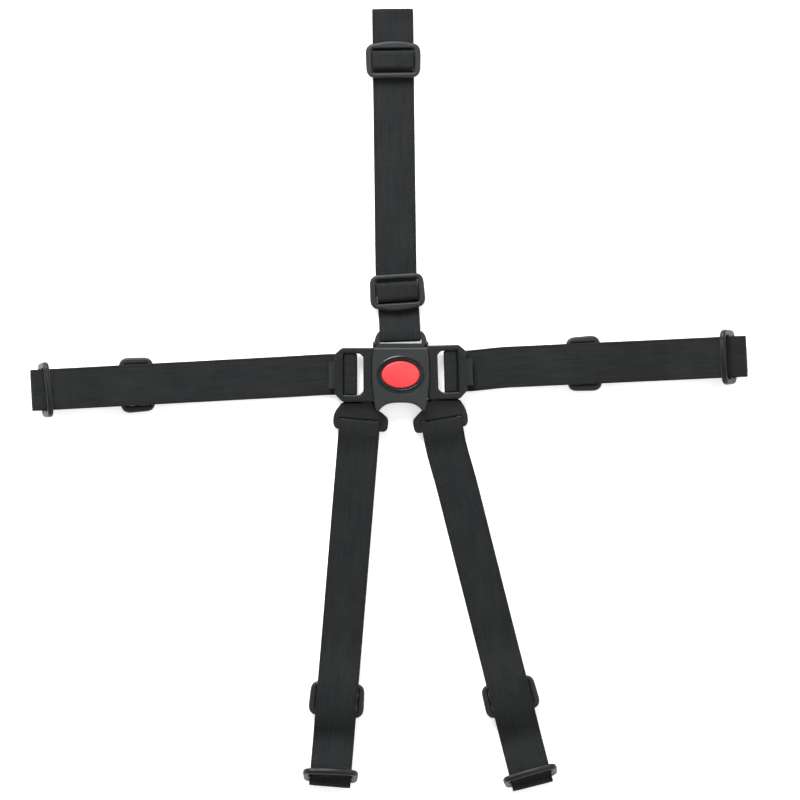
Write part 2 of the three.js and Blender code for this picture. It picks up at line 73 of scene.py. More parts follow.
SLIDER_WIDTH, SLIDER_WINDOW, CENTRE_BAR = 32.9, 14.4, 4
STRAIGHT_BAR, ARCH_ENDS, ARCH_MIDDLE = 3.5, 2.4, 5.1
SLOT_HALF = 12.5
BAR_LOW, BAR_HIGH, SLIDER_MIDDLE = 3.6, 6.2, 5.3
STANDING = 11.3  # height of the centre bar of a slider on its edge

TONGUE_BAR_HALF, TONGUE_BAR_TOP = 2.6, 8.2
CLIP_BAR_UP, CLIP_BAR_DOWN, CLIP_TOP = 1.8, 3.3, 6.1
LOOP_BAR_HALF, LOOP_TOP = 1.95, 6
POST_OUT, POST_RADIUS, POST_FOOT = 5.2, 1.1, 4.9  # the button's two posts
SHARP_ANGLE = 38  # degrees; gentler edges are shaded smooth

SIDES = {"left": -1, "right": 1}


# ---- nodes of materials ----

class Shader:
    """A material with one Principled shader and short calls for its texture nodes."""

    def __init__(self, name, color, roughness, **sockets):
        self.material = bpy.data.materials.new(name)
        self.material.use_nodes = True
        self.tree = self.material.node_tree
        self.main = self.tree.nodes["Principled BSDF"]
        self.main.inputs["Base Color"].default_value = (*color, 1)
        self.main.inputs["Roughness"].default_value = roughness
        for socket, value in sockets.items():
            self.main.inputs[socket.replace("_", " ")].default_value = value

    def node(self, kind, **values):
        made = self.tree.nodes.new(kind)
        for key, value in values.items():
            setattr(made, key, value)
        return made

    def put(self, value, socket):
        if hasattr(value, "is_output"):
            self.tree.links.new(value, socket)
        else:
            socket.default_value = value

    def math(self, operation, a, b=0.5, clamp=False):
        made = self.node("ShaderNodeMath", operation=operation, use_clamp=clamp)
        self.put(a, made.inputs[0])
        self.put(b, made.inputs[1])
        return made.outputs[0]

    def place(self, scale=(1, 1, 1)):
        """The point on the object, in millimetres times scale."""
        found = self.node("ShaderNodeTexCoord").outputs["Object"]
        mapping = self.node("ShaderNodeMapping")
        mapping.inputs["Scale"].default_value = [s / MM for s in scale]
        self.put(found, mapping.inputs["Vector"])
        return mapping.outputs[0]

    def noise(self, vector, scale, detail=3, roughness=0.55):
        made = self.node("ShaderNodeTexNoise")
        self.put(vector, made.inputs["Vector"])
        made.inputs["Scale"].default_value = scale
        made.inputs["Detail"].default_value = detail
        made.inputs["Roughness"].default_value = roughness
        return made.outputs["Fac"]

    def ramp(self, value, stops):
        made = self.node("ShaderNodeValToRGB")
        self.put(value, made.inputs["Fac"])
        band = made.color_ramp.elements
        while len(band) < len(stops):
            band.new(0.5)
        for element, (at, color) in zip(band, stops):
            element.position = at
            element.color = (*color, 1) if hasattr(color, "__len__") else (color,) * 3 + (1,)
        return made.outputs["Color"]

    def mix(self, factor, a, b):
        made = self.node("ShaderNodeMix", data_type="RGBA")
        self.put(factor, made.inputs["Factor"])
        for value, socket in ((a, made.inputs[6]), (b, made.inputs[7])):
            self.put((*value, 1) if isinstance(value, tuple) else value, socket)
        return made.outputs[2]

    def bump(self, height, distance, strength=1.0, under=None):
        made = self.node("ShaderNodeBump")
        made.inputs["Strength"].default_value = strength
        made.inputs["Distance"].default_value = distance * MM
        self.put(height, made.inputs["Height"])
        if under is not None:
            self.put(under, made.inputs["Normal"])
        return made.outputs[0]


def moulded_plastic(name, color, worn, roughness, grain=0.02):
    """Satin injection-moulded plastic: fine spark grain, soft flow marks, rubbed edges."""
    s = Shader(name, color, roughness, Specular_IOR_Level=0.3)
    point = s.place()
    flow = s.noise(s.place((0.03, 0.05, 0.04)), 1.0, 2)
    fine = s.noise(point, 3.2, 4, 0.7)
    rub = s.noise(point, 0.9, 4, 0.75)
    edges = s.ramp(s.node("ShaderNodeNewGeometry").outputs["Pointiness"], [(0.52, 0), (0.62, 1)])
    wear = s.math("MULTIPLY", edges, s.ramp(rub, [(0.42, 0.1), (0.66, 0.75)]), True)
    darker = tuple(0.78 * c for c in color)
    body = s.mix(s.ramp(flow, [(0.3, 0), (0.7, 1)]), darker, color)
    s.put(s.mix(wear, body, worn), s.main.inputs["Base Color"])
    gloss = s.math("MULTIPLY_ADD", fine, 0.16)
    gloss.node.inputs[2].default_value = roughness - 0.08
    s.put(s.math("SUBTRACT", gloss, s.math("MULTIPLY", wear, 0.1)), s.main.inputs["Roughness"])
    scratches = s.noise(s.place((0.25, 4.0, 1.0)), 1.0, 3, 0.8)
    lines = s.ramp(scratches, [(0.64, 0), (0.7, 1)])
    skin = s.bump(lines, -0.006, 0.5)
    s.put(s.bump(fine, grain, 0.8, skin), s.main.inputs["Normal"])
    return s.material


def webbing_material():
    """Black polyester webbing: rows of picks across, fine warp lines along, tight selvedges."""
    s = Shader("woven_webbing", (0.024, 0.0245, 0.026), 0.9, Specular_IOR_Level=0.16)
    s.main.inputs["Sheen Weight"].default_value = 0.022
    s.main.inputs["Sheen Roughness"].default_value = 0.45
    s.main.inputs["Sheen Tint"].default_value = (0.75, 0.77, 0.77, 1)
    uv = s.node("ShaderNodeUVMap", uv_map="weave").outputs[0]
    split = s.node("ShaderNodeSeparateXYZ")
    s.put(uv, split.inputs[0])
    across = s.math("MULTIPLY", split.outputs[0], WIDTH)  # millimetres from one edge
    along = s.math("MULTIPLY", split.outputs[1], 1 / MM)

    def wave(value, pitch, shift=0.0):
        phase = s.math("MULTIPLY", value, 2 * math.pi / pitch)
        return s.math("SINE", s.math("ADD", phase, shift))

    warp = wave(across, WARP_PITCH)
    pick = wave(along, PICK_PITCH)
    twill = s.math("MULTIPLY", warp, pick)
    ribs = s.math("MULTIPLY", s.math("ABSOLUTE", wave(along, 2 * PICK_PITCH)), 0.55)
    weave = s.math("ADD", s.math("MULTIPLY", twill, 0.45), ribs)
    millimetres = s.node("ShaderNodeCombineXYZ")
    s.put(across, millimetres.inputs[0])
    s.put(along, millimetres.inputs[1])
    fibre = s.noise(millimetres.outputs[0], 5.0, 3, 0.7)
    streaks = s.node("ShaderNodeMapping")
    streaks.inputs["Scale"].default_value = (0.9, 0.035, 1)
    s.put(millimetres.outputs[0], streaks.inputs["Vector"])
    warp_lines = s.noise(streaks.outputs[0], 1.0, 2)
    patches = s.noise(millimetres.outputs[0], 0.045, 3)
    edge = s.math("ABSOLUTE", s.math("SUBTRACT", across, WIDTH / 2))
    from_middle = s.math("DIVIDE", edge, WIDTH / 2)
    selvedge = s.ramp(from_middle, [(0.86, 0), (0.9, 1), (0.93, 0.35), (1.0, 1)])
    dull, bright = (0.0114, 0.0122, 0.0126), (0.0172, 0.0183, 0.0182)
    tone = s.mix(s.ramp(patches, [(0.35, 0), (0.65, 1)]), dull, bright)
    tone = s.mix(s.ramp(warp_lines, [(0.35, 0), (0.75, 0.45)]), tone, (0.032, 0.0345, 0.0345))
    tone = s.mix(s.ramp(weave, [(0.2, 0.5), (0.75, 0)]), tone, (0.008, 0.0085, 0.010))
    tone = s.mix(s.math("MULTIPLY", selvedge, 0.55), tone, (0.011, 0.011, 0.012))
    rows = s.math("COMPARE", along, TACK_FROM_END)
    rows.node.inputs[2].default_value = TACK_HALF
    zigzag = s.math("ADD", s.math("MULTIPLY", along, 1.9), s.math("MULTIPLY", across, 5.2))
    inside = s.math("LESS_THAN", edge, WIDTH / 2 - TACK_INSET)
    stitches = s.math("GREATER_THAN", s.math("SINE", zigzag), -0.2)
    thread = s.math("MULTIPLY", s.math("MULTIPLY", rows, inside), stitches)
    tone = s.mix(thread, tone, (0.05, 0.05, 0.054))
    lint = s.noise(millimetres.outputs[0], 1.7, 5, 0.8)
    tone = s.mix(s.ramp(lint, [(0.70, 0), (0.78, 0.35)]), tone, (0.11, 0.11, 0.115))
    s.put(tone, s.main.inputs["Base Color"])
    raised = s.bump(thread, 0.3, 0.9, s.bump(weave, 0.14, 0.9))
    s.put(s.bump(fibre, 0.05, 0.5, raised), s.main.inputs["Normal"])
    return s.material


def steel_material():
    """Bright spring steel with drawing lines and a few dull spots."""
    s = Shader("spring_steel", (0.58, 0.59, 0.61), 0.28, Metallic=1.0)
    drawn = s.noise(s.place((0.4, 6.0, 6.0)), 1.0, 3, 0.7)
    spots = s.noise(s.place(), 0.7, 3)
    s.put(s.mix(s.ramp(spots, [(0.45, 0), (0.7, 1)]), (0.62, 0.63, 0.65), (0.36, 0.35, 0.34)),
          s.main.inputs["Base Color"])
    rough = s.math("MULTIPLY_ADD", spots, 0.3)
    rough.node.inputs[2].default_value = 0.14
    s.put(rough, s.main.inputs["Roughness"])
    s.put(s.bump(drawn, 0.01, 0.6), s.main.inputs["Normal"])
    return s.material


BUCKLE_PLASTIC = moulded_plastic("buckle_plastic", (0.0210, 0.0236, 0.0246), (0.055, 0.06, 0.063), 0.38)
SLIDER_PLASTIC = moulded_plastic("slider_plastic", (0.0185, 0.020, 0.021), (0.075, 0.078, 0.082), 0.42)
POLISHED_PLASTIC = moulded_plastic(
    "polished_plastic", (0.012, 0.0135, 0.0142), (0.07, 0.074, 0.077), 0.24, 0.006)
# The same black plastic with painted shade: a darker copy for the tongues, shoulder clips and end frames,
# which the lights catch more than the housing.
SHADE_PAINTED_PLASTIC = moulded_plastic("tongue_plastic", (0.0065, 0.0075, 0.008), (0.04, 0.043, 0.045), 0.40)
CORAL_PLASTIC = moulded_plastic("coral_plastic", (0.79, 0.056, 0.062), (0.92, 0.13, 0.13), 0.4, 0.008)
WEBBING = webbing_material()
STEEL = steel_material()


# ---- outlines: lists of (x, y) in millimetres, counter-clockwise ----

def arc(cx, cy, rx, ry, start, end, steps):
    """Points on an ellipse from start to end, in degrees, both ends included."""
    angles = [math.radians(start + (end - start) * i / steps) for i in range(steps + 1)]
    return [(cx + rx * math.cos(a), cy + ry * math.sin(a)) for a in angles]


def ellipse(rx, ry, steps=96):
    return arc(0, 0, rx, ry, 0, 360, steps)[:-1]


def bezier(*points, steps=12):
    """A quadratic or cubic curve through its first and last points, without the first one."""
    def at(t):
        level = [Vector(p) for p in points]
        while len(level) > 1:
            level = [a.lerp(b, t) for a, b in zip(level, level[1:])]
        return tuple(level[0])
    return [at(i / steps) for i in range(1, steps + 1)]


def rounded(points, radii, steps=6):
    """A closed outline with each corner rounded by a quadratic curve cut back by its radius."""
    result = []
    count = len(points)
    for i, corner in enumerate(points):
        cut = radii[i] if hasattr(radii, "__len__") else radii
        corner = Vector(corner)
        ends = []
        for other in (Vector(points[i - 1]), Vector(points[(i + 1) % count])):
            step = other - corner
            ends.append(corner + step.normalized() * min(cut, 0.49 * step.length))
        result.append(tuple(ends[0]))
        result += bezier(tuple(ends[0]), tuple(corner), tuple(ends[1]), steps=steps)
    return result


def rectangle(x0, x1, y0, y1):
    return [(x0, y0), (x1, y0), (x1, y1), (x0, y1)]


def counter_clockwise(points):
    area = sum(a[0] * b[1] - b[0] * a[1] for a, b in zip(points, points[1:] + points[:1]))
    return points if area > 0 else points[::-1]


def mirrored(points, side):
    return counter_clockwise([(side * x, y) for x, y in points])


# ---- solids, in metres ----

def inward_normals(loop):
    normals = []
    for i, point in enumerate(loop):
        before, here, after = Vector(loop[i - 1]), Vector(point), Vector(loop[(i + 1) % len(loop)])
        a, b = (here - before).normalized(), (after - here).normalized()
        left = Vector((-a.y - b.y, a.x + b.x))
        left.normalize()
        spread = max(0.5, left.dot(Vector((-a.y, a.x))))
        normals.append(left / spread)
    return normals


def plate(outline, low, high, rounding=0.0, holes=(), steps=3, bottom=None):
    """A flat moulded piece: an outline raised from low to high, its rims rounded over."""
    loops = [counter_clockwise(list(outline))]
    loops += [counter_clockwise(list(hole))[::-1] for hole in holes]
    bottom = rounding if bottom is None else bottom
    profile = []
    for radius, z, sign in ((bottom, low, 1), (rounding, high, -1)):
        if radius <= 0:
            profile.append([(0.0, z)])
            continue
        turn = [math.pi / 2 * i / steps for i in range(steps + 1)]
        profile.append([(radius * (1 - math.sin(a)), z + sign * radius * (1 - math.cos(a))) for a in turn])
    levels = profile[0] + profile[1][::-1]
    bm = bmesh.new()
    rings = []
    for loop in loops:
        normals = inward_normals(loop)
        rings.append([
            [bm.verts.new(((x + n.x * inset) * MM, (y + n.y * inset) * MM, z * MM))
             for (x, y), n in zip(loop, normals)]
            for inset, z in levels
        ])
    for ring in rings:
        for below, above in zip(ring, ring[1:]):
            for i in range(len(below)):
                bm.faces.new((below[i - 1], below[i], above[i], above[i - 1]))
    for level, flip in ((0, True), (-1, False)):
        edge = [ring[level] for ring in rings]
        flat = [v for loop in edge for v in loop]
        level_loops = [[Vector((v.co.x, v.co.y, 0)) for v in loop] for loop in edge]
        for triangle in tessellate_polygon(level_loops):
            corners = [flat[i] for i in triangle]
            bm.faces.new(corners[::-1] if flip else corners)
    bmesh.ops.recalc_face_normals(bm, faces=bm.faces)
    return finished_mesh(bm)


def finished_mesh(bm):
    bmesh.ops.dissolve_limit(bm, angle_limit=0.002, verts=bm.verts, edges=bm.edges)
    mesh = bpy.data.meshes.new("solid")
    bm.to_mesh(mesh)
    bm.free()
    return mesh


def profile_bar(points, y0, y1):
    """A profile of (x, z) points extruded along Y."""
    mesh = plate(points, 0, y1 - y0)
    mesh.transform(Matrix(((1, 0, 0, 0), (0, 0, -1, y1 * MM), (0, 1, 0, 0), (0, 0, 0, 1))))
    return mesh


def block(x0, x1, y0, y1, z0, z1):
    return plate(rectangle(min(x0, x1), max(x0, x1), y0, y1), z0, z1)


def combined(base, *steps):
    """base with each (operation, mesh) applied: UNION or DIFFERENCE."""
    target = bpy.data.objects.new("target", base)
    bpy.context.scene.collection.objects.link(target)
    tools = []
    for operation, mesh in steps:
        tool = bpy.data.objects.new("tool", mesh)
        bpy.context.scene.collection.objects.link(tool)
        modifier = target.modifiers.new(operation, "BOOLEAN")
        modifier.operation, modifier.solver, modifier.object = operation, "EXACT", tool
        tools.append(tool)
    shape = target.evaluated_get(bpy.context.evaluated_depsgraph_get())
    result = bpy.data.meshes.new_from_object(shape)
    for extra in [target, *tools]:
        bpy.data.objects.remove(extra)
    return result


def piece(name, mesh, material, body=None, stands_for=()):
    """A shown object, shaded smooth across its soft edges and sharp across its hard ones."""
    made = bpy.data.objects.new(name, mesh)
    bpy.context.scene.collection.objects.link(made)
    mesh.materials.clear()
    mesh.materials.append(material)
    for polygon in mesh.polygons:
        polygon.use_smooth = True
    mesh.set_sharp_from_angle(angle=math.radians(SHARP_ANGLE))
    made.modifiers.new("normals", "WEIGHTED_NORMAL").keep_sharp = True
    if stands_for:
        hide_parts(*stands_for)
    if body:
        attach(made, body)
    return made


# ---- buckle ----

HOUSING_LOW, HOUSING_SEAM, HOUSING_HIGH = 0, 6.75, 14.5
BASE_PLATE, ROOF_LOW, ROOF_INSIDE, FLOOR_INSIDE = 2.6, 11.3, 12.2, 1.8
WALL_HALF, HOUSING_TOP, BACK_END = 15, 16.4, -15.9
BUTTON = (11.45, 8.1)
TONGUE_LOW, TONGUE_HIGH = 3.4, 10.9
BLADE_TIP, BLADE_HALF, BLADE_LOW, BLADE_HIGH = 6.8, 11, 4.4, 7.4


def housing_outline():
    """Straight top, bulging sides, and two short legs with an arch between them."""
    side = [(0, 16.4), (15.1, 16.4)]
    side += bezier((15.1, 16.4), (16.1, 16.4), (16.3, 15.4), steps=5)
    side += bezier((16.3, 15.4), (18.9, 1), (15.6, -18.5), steps=30)
    side += bezier((15.6, -18.5), (15.2, -20.9), (14.3, -21.8), steps=7)
    side += bezier((14.3, -21.8), (13.6, -22.4), (12.7, -21.5), steps=6)
    side += bezier((12.7, -21.5), (9.6, -17.2), (5, -17), (0, -17), steps=20)
    left = [(-x, y) for x, y in side[1:-1]][::-1]
    return counter_clockwise(side + left)


def beside_walls(side):
    return block(side * WALL_HALF, side * 30, -16.8, 30, BASE_PLATE, ROOF_LOW)


def cavity(low, high):
    return block(-13.2, 13.2, -13.4, HOUSING_TOP - 2.2, low, high)


def tongue_passage():
    return block(-25, 25, -BLADE_HALF - 1.6, BLADE_HALF + 1.8, BLADE_LOW - GAP, BLADE_HIGH + 0.4)


def oval_ring(rx, ry, profile, around=120):
    """A closed (outset, z) profile swept round an ellipse."""
    bm = bmesh.new()
    rings = [[bm.verts.new((x * MM, y * MM, z * MM)) for x, y in ellipse(rx + out, ry + out, around)]
             for out, z in profile]
    for k in range(len(rings)):
        for i in range(around):
            bm.faces.new((rings[k - 1][i - 1], rings[k - 1][i], rings[k][i], rings[k][i - 1]))
    bmesh.ops.recalc_face_normals(bm, faces=bm.faces)
    mesh = bpy.data.meshes.new("ring")
    bm.to_mesh(mesh)
    bm.free()
    return mesh


def build_buckle():
    cuts = [("DIFFERENCE", beside_walls(side)) for side in SIDES.values()]
    front = combined(
        plate(housing_outline(), HOUSING_SEAM + GAP / 2, HOUSING_HIGH, 1.15, bottom=0.3, steps=5),
        *cuts,
        ("DIFFERENCE", cavity(HOUSING_SEAM - 1, ROOF_INSIDE)),
        ("DIFFERENCE", tongue_passage()),
        ("DIFFERENCE", plate(ellipse(14.1, 10.75), 13.5, 16)),
        ("DIFFERENCE", plate(ellipse(BUTTON[0] + GAP, BUTTON[1] + GAP), 11, 16)),
    )
    piece("front_cover", front, BUCKLE_PLASTIC, "buckle", ["buckle_front_cover"])
    collar = [(0.6, 12.3), (0.7, 13.5), (0.82, 14.0), (1.05, 14.24), (1.35, 14.3), (1.65, 14.24),
              (1.85, 14.0), (1.9, 13.3), (1.2, 12.3)]
    bead = [(2.4, 13.2), (2.43, 14.5), (2.54, 14.85), (2.72, 15.0), (2.95, 14.96), (3.2, 14.82),
            (3.5, 14.64), (3.75, 14.44), (3.75, 14.1), (3.0, 13.2)]
    for name, profile in (("button_collar", collar), ("recess_bead", bead)):
        piece(name, oval_ring(*BUTTON, profile), POLISHED_PLASTIC, "buckle")

    cuts = [("DIFFERENCE", beside_walls(side)) for side in SIDES.values()]
    outer = [(15.1, 13.4), (15.1, 17.6), (16.3, 17.9)]
    outer += bezier((16.3, 17.9), (15.9, 23.4), (13.6, 25.9), steps=12)
    outer += bezier((13.6, 25.9), (12.9, 26.6), (11.6, 26.6), steps=4)
    outer += [(-x, y) for x, y in outer][::-1]
    slot = rounded(rectangle(-12.6, 12.6, 19.0, 21.5), 0.5)
    gusset = rectangle(13.6, 16.9, 15.6, 20)  # low web between the housing and an arm of the loop
    back = combined(
        plate(housing_outline(), HOUSING_LOW, HOUSING_SEAM - GAP / 2, 0.3, bottom=0.8),
        *cuts,
        ("DIFFERENCE", block(-30, 30, -30, BACK_END, -1, 15)),
        ("UNION", plate(outer, 2, LOOP_TOP, 1.2, steps=5)),
        ("DIFFERENCE", plate(slot, 1, 8)),
        *[("UNION", plate(rounded(mirrored(gusset, side), 0.5, 3), 2.1, 3.0, 0.2))
          for side in SIDES.values()],
        ("DIFFERENCE", cavity(FLOOR_INSIDE, HOUSING_SEAM + 1)),
        ("DIFFERENCE", tongue_passage()),
    )
    piece("back_cover", back, BUCKLE_PLASTIC, "buckle", ["buckle_back_cover"])


def dome(rx, ry, rim, crown, foot, steps=9, around=96):
    """An oval cap: straight skirt from foot to rim, rounded shoulder, crowned face."""
    bm = bmesh.new()
    soft = 0.85  # radius of the shoulder
    levels = [(1.0, foot), (1.0, rim - soft)]
    levels += [(1 - soft / ry * (1 - math.cos(a)), rim - soft + soft * math.sin(a))
               for a in [math.pi / 2 * i / 7 for i in range(1, 8)]]
    shoulder, height = levels[-1]
    levels += [(shoulder * (1 - i / steps), height + (crown - height) * (1 - (1 - i / steps) ** 2))
               for i in range(1, steps)]
    rings = []
    for scale, z in levels:
        rings.append([bm.verts.new((x * scale * MM, y * scale * MM, z * MM))
                      for x, y in ellipse(rx, ry, around)])
    top = bm.verts.new((0, 0, crown * MM))
    for below, above in zip(rings, rings[1:]):
        for i in range(around):
            bm.faces.new((below[i - 1], below[i], above[i], above[i - 1]))
    for i in range(around):
        bm.faces.new((rings[-1][i - 1], rings[-1][i], top))
    bm.faces.new(rings[0][::-1])
    bmesh.ops.recalc_face_normals(bm, faces=bm.faces)
    mesh = bpy.data.meshes.new("dome")
    bm.to_mesh(mesh)
    bm.free()
    return mesh


def build_button():
    underside = 10.6
    steps = [("UNION", plate(ellipse(12.55, 9.2), underside, underside + 1.3, 0.2))]
    for side in SIDES.values():
        post = [(x + POST_OUT * side, y) for x, y in ellipse(POST_RADIUS, POST_RADIUS, 24)]
        steps.append(("UNION", plate(post, POST_FOOT, underside + 0.3, 0.15)))
    mesh = combined(dome(*BUTTON, 14.95, 15.5, underside + 0.2), *steps)
    piece("push_button", mesh, CORAL_PLASTIC, "release_button", ["release_button"])


def build_spring():
    """The return spring, wound from round wire with closed ends."""
    turns, radius, wire, low, high = 5, 2.7, 0.35, 2.45, 9.95
    curve = bpy.data.curves.new("coil", "CURVE")
    curve.dimensions = "3D"
    curve.bevel_depth = wire * MM
    curve.bevel_resolution = 3
    curve.use_fill_caps = True
    line = curve.splines.new("POLY")
    count = 30 * turns
    line.points.add(count)
    for i in range(count + 1):
        angle = 2 * math.pi * turns * i / count
        z = low + (high - low) * i / count
        line.points[i].co = (radius * math.cos(angle) * MM, radius * math.sin(angle) * MM, z * MM, 1)
    holder = bpy.data.objects.new("coil", curve)
    bpy.context.scene.collection.objects.link(holder)
    mesh = bpy.data.meshes.new_from_object(holder.evaluated_get(bpy.context.evaluated_depsgraph_get()))
    bpy.data.objects.remove(holder)
    made = piece("return_spring", mesh, STEEL, "buckle", ["button_spring"])
    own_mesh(made)


def build_latch():
    """The latch: one bent leaf of spring steel, with an eye for the return spring."""
    foot = FLOOR_INSIDE + GAP
    half = [(3, foot), (6.4, foot), (7.4, foot + 1), (12.2, foot + 1), (12.4, 5.4), (10.4, 7.1),
            (9.3, 7.1), (9.3, foot + 1.9), (7, foot + 1.9), (6, foot + 0.9)]
    outline = rounded(half + [(-x, z) for x, z in half][::-1], 0.3, 3)
    eye = plate(ellipse(4, 4, 48), 0, 9)
    leaf = combined(profile_bar(outline, -6, 6), ("DIFFERENCE", eye))
    made = piece("latch_spring_leaf", leaf, STEEL, "buckle", ["latch_leaf"])
    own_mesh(made)


# ---- tongues and shoulder clips ----

RIGHT_TURN, RIGHT_SHIFT = 1.5, 0.9


def side_matrix(side):
    """Where the tongue's own frame lies: the right one sits a little turned and high."""
    if side < 0:
        return Matrix.Identity(4)
    return Matrix.Translation((0, RIGHT_SHIFT * MM, 0)) @ Matrix.Rotation(math.radians(RIGHT_TURN), 4, "Z")


def bar_profile(middle, half, low, high, rounding=1.0):
    return rounded(rectangle(middle - half, middle + half, low, high), rounding, 4)


def build_tongue(name, side):
    outline = [(15.9, 16.4), (35.5, 16.4), (40.1, 12.4), (40.1, -11.6), (35.5, -16.4), (15.9, -16.4)]
    outline = rounded(mirrored(outline, side), 1.2, 4)
    window = [(34.7, -12.2), (34.7, 12.8), (24.8, 12.8), (22.6, 10.6), (22.6, -10.0), (24.8, -12.2)]
    window = rounded(mirrored(window, side), 0.8, 4)
    lip = mirrored([(38.1, 9.3), (39.9, 9.7), (43.6, 7.6), (43.8, 7.0), (43.6, 6.6), (38.1, 6.3)], side)
    blade = rounded(mirrored(rectangle(BLADE_TIP, 17, -BLADE_HALF, BLADE_HALF), side), 1.6, 4)
    back = side_matrix(side).inverted()
    seen = [tuple((back @ Vector((x * MM, y * MM, 0)) / MM)[:2]) for x, y in housing_outline()]
    step_out = rounded(mirrored(rectangle(35.6, 41, -9.2, 8.8), side), 0.8, 3)
    mesh = combined(
        plate(outline, TONGUE_LOW, TONGUE_HIGH, 1.0, [window], steps=4, bottom=0.6),
        ("DIFFERENCE", plate(step_out, 10.2, 12)),
        ("DIFFERENCE", plate([(x * 1.026, y) for x, y in seen], 9.7, 12)),
        ("UNION", profile_bar(bar_profile(side * 30.5, TONGUE_BAR_HALF, 4.2, TONGUE_BAR_TOP), -13.6, 14.2)),
        ("UNION", profile_bar(lip, -8.4, 8)),
        ("UNION", plate(blade, BLADE_LOW, BLADE_HIGH, 0.35)),
        ("DIFFERENCE", block(side * 8.8, side * 12.9, -7.8, 7.8, 0, 20)),
        ("DIFFERENCE", block(side * 17.9, side * 22.4, -20, -1.7, 0, CLIP_TOP + 0.4)),
    )
    mesh.transform(side_matrix(side))
    # The tongue takes the darker copy of the plastic: painted shade.
    piece(name + "_body", mesh, SHADE_PAINTED_PLASTIC, name, [name])


def build_clip(name, side, strap):
    """A flared plate; its lower frame is square to the shoulder strap it carries."""
    inverse = side_matrix(side).inverted()
    pivot = inverse @ (Vector((*strap.pivot, 0)) * MM) / MM
    along = (inverse.to_3x3() @ Vector((*strap.leave, 0))).normalized()
    turn = math.atan2(along.y, along.x) + math.pi / 2

    def placed(points):
        c, s = math.cos(turn), math.sin(turn)
        return [(pivot.x + x * c - y * s, pivot.y + x * s + y * c) for x, y in points]

    near, far = -side, side  # the buckle's side, and the outer one
    ears = placed([(near * 17.3, -2.9), (near * 17.3, 5.3), (near * 14.6, 7.7),
                   (far * 16.2, 6.4), (far * 16.2, -0.4), (far * 14.2, -3.3)])
    outline = [*ears[:3], (side * 13.9, -21.2), (side * 13.9, -16.7), (side * 35.5, -16.7), *ears[3:]]
    outline = rounded(outline, [3.6, 2.6, 2.0, 1.0, 0.8, 1.2, 4.5, 2.4, 1.6], 7)
    slot = rounded(placed(rectangle(-12.3, 12.3, CLIP_BAR_UP, 3.38)), 0.4, 3)
    tab = mirrored(rectangle(18.2, 22.1, -20.7, -2.2), side)
    web = mirrored(rectangle(16.8, 34.6, -17.9, -15.4), side)
    mesh = combined(
        plate(outline, 2, CLIP_TOP, 1.0, [slot], steps=4),
        ("UNION", plate(rounded(tab, 0.8, 3), 2.7, CLIP_TOP - 0.02, 0.3)),
        ("UNION", plate(rounded(web, 0.5, 3), 2.05, 3.0, 0.2)),
        ("UNION", plate(mirrored(rectangle(14.4, 17.5, -17.7, -16.15), side), 2.15, 3.08, 0.15)),
    )
    mesh.transform(side_matrix(side))
    # The clip takes the darker copy of the plastic: painted shade.
    piece(name + "_plate", mesh, SHADE_PAINTED_PLASTIC, name, [name])


# ---- straps: where each runs seen from above, as in the CAD ----

def heading(degrees):
    return Vector((math.cos(math.radians(degrees)), math.sin(math.radians(degrees))))


class Strap:
    """A strap's layout in millimetres: pivot, course over the floor, sliders and end loop."""

    def __init__(self, name, holder, pivot, leave, slider, end, fold, join=None, run=None, lean=0, skew=0):
        self.name, self.holder, self.body = name, holder, "strap_" + name
        self.slider, self.end, self.fold, self.lean, self.skew = slider, end, fold, lean, skew
        self.pivot, self.leave = Vector(pivot), heading(leave)
        self.turn = None
        if join:
            self.run = heading(run)
            lead, join = self.pivot + self.leave * LEAD, Vector(join)
            reach = (join - lead).length / 3
            curve = bezier(lead, lead + self.leave * reach, join - self.run * reach, join, steps=240)
            self.turn = [lead] + [Vector(p) for p in curve]
            self.lengths = [LEAD]
            for a, b in zip(self.turn, self.turn[1:]):
                self.lengths.append(self.lengths[-1] + (b - a).length)

    def at(self, distance):
        """The point this far from the pivot, and the direction there."""
        if self.turn is None or distance <= LEAD:
            return self.pivot + self.leave * distance, self.leave
        if distance >= self.lengths[-1]:
            return self.turn[-1] + self.run * (distance - self.lengths[-1]), self.run
        i = bisect.bisect_right(self.lengths, distance)
        share = (distance - self.lengths[i - 1]) / (self.lengths[i] - self.lengths[i - 1])
        a, b = self.turn[i - 1], self.turn[i]
        return a.lerp(b, share), (b - a).normalized()

    def marker(self, distance):
        """A point of the row frame on the strap's course."""
        point, _ = self.at(distance)
        return (point.x * MM, point.y * MM, 0.004)


STRAPS = [
    Strap("waist_left", "tongue_left", (-30.5, 0.3), 180, 129.7, 184.5, 8.9, (-66, -1.03), 183.1, 105, 2.5),
    Strap("waist_right", "tongue_right", (30.46, 2), 1.5, 81, 167.9, 11.4, (66, 4.7), 2.6, 112),
    Strap("shoulder_left", "shoulder_clip_left", (-25, -30.6), 265.3, 167, 212.6, 6.8, lean=109, skew=2.4),
    Strap("shoulder_right", "shoulder_clip_right", (25.1, -30.2), 279.5, 170.3, 219, 6.8,
          (34.6, -69), 284.2, 107, 1.5),
    Strap("crotch", "buckle", (-0.4, 23.4), 92, 27.1, 167.4, 31.5, (-2.9, 66), 90.75),
]

# Routes are (distance, height, rounding) points of the webbing's middle line.
TIGHT, EASY = 1.6, 8
SEWN_TOP, SEWN_BOTTOM = BAR_HIGH + WRAP, BAR_LOW - WRAP
OVER_SEWN = SEWN_TOP + LAYER
SEWN_HALF = CENTRE_BAR / 2 + WRAP
THREADED_HALF = SEWN_HALF + LAYER
SEWN_REACH, THREADED_REACH = 3.6, 5.6  # from a slider's middle to where its webbing is level again

